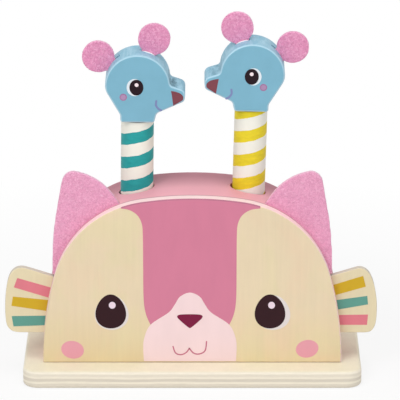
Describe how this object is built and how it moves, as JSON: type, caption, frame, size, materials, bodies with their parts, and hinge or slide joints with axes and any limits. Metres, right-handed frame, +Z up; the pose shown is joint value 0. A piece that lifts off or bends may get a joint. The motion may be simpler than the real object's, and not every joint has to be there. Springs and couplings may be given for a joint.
{
  "type": "pop up animal toy",
  "caption": "Cat-faced wooden arch on a board, with mice on striped sprung pegs that are pressed down and pop up again.",
  "frame": {"origin": "centre of the board's underside", "axes": "+X to the right as the cat's face is looked at, -Y out of the face towards the viewer, +Z up"},
  "size_m": [0.2528, 0.098, 0.2483],
  "materials": {
    "board_ply": "clear-lacquered plywood with bare plies at its edges",
    "panel_ply": "clear-lacquered plywood face with a matt print",
    "pink_paint": "wood under satin pink paint",
    "fin_ply": "plywood with three printed stripes",
    "cat_felt": "thick wool felt, pink",
    "mouse_felt": "wool felt, pink",
    "blue_paint": "wood under satin blue paint",
    "teal_peg": "white and teal painted peg",
    "yellow_peg": "white and yellow painted peg",
    "bare_wood": "plain beech",
    "steel": "zinc plated",
    "spring_steel": "plain spring wire"
  },
  "bodies": {
    "housing": {"base_board": "board_ply", "base_screws": "steel", "body_block": "pink_paint", "front_panel": "panel_ply", "left_cat_ear": "cat_felt", "left_fin": "fin_ply", "left_spring": "spring_steel", "right_cat_ear": "cat_felt", "right_fin": "fin_ply", "right_spring": "spring_steel"},
    "left_carrier": {"left_stop_washer": "steel"},
    "left_mouse": {"left_neck": "teal_peg", "left_head": "blue_paint", "left_head_pin": "bare_wood", "left_front_ear": "mouse_felt", "left_back_ear": "mouse_felt", "left_washer_screw": "steel"},
    "right_carrier": {"right_stop_washer": "steel"},
    "right_mouse": {"right_neck": "yellow_peg", "right_head": "blue_paint", "right_head_pin": "bare_wood", "right_front_ear": "mouse_felt", "right_back_ear": "mouse_felt", "right_washer_screw": "steel"}
  },
  "joints": [
    {"name": "left_press", "type": "slide", "parent": "housing", "child": "left_carrier", "axis": [0.0122, 0, 0.9999], "range_m": [-0.047, 0], "stiffness_N_per_m": 260, "springref_m": 0.004, "deforming": ["left_spring"]},
    {"name": "left_spin", "type": "hinge", "parent": "left_carrier", "child": "left_mouse", "pos_m": [-0.0375, 0.003, 0.108], "axis": [0.0122, 0, 0.9999], "continuous": true},
    {"name": "right_press", "type": "slide", "parent": "housing", "child": "right_carrier", "axis": [0.0262, 0, 0.9997], "range_m": [-0.0545, 0], "stiffness_N_per_m": 260, "springref_m": 0.004, "deforming": ["right_spring"]},
    {"name": "right_spin", "type": "hinge", "parent": "right_carrier", "child": "right_mouse", "pos_m": [0.0375, 0.003, 0.108], "axis": [0.0262, 0, 0.9997], "continuous": true}
  ]
}
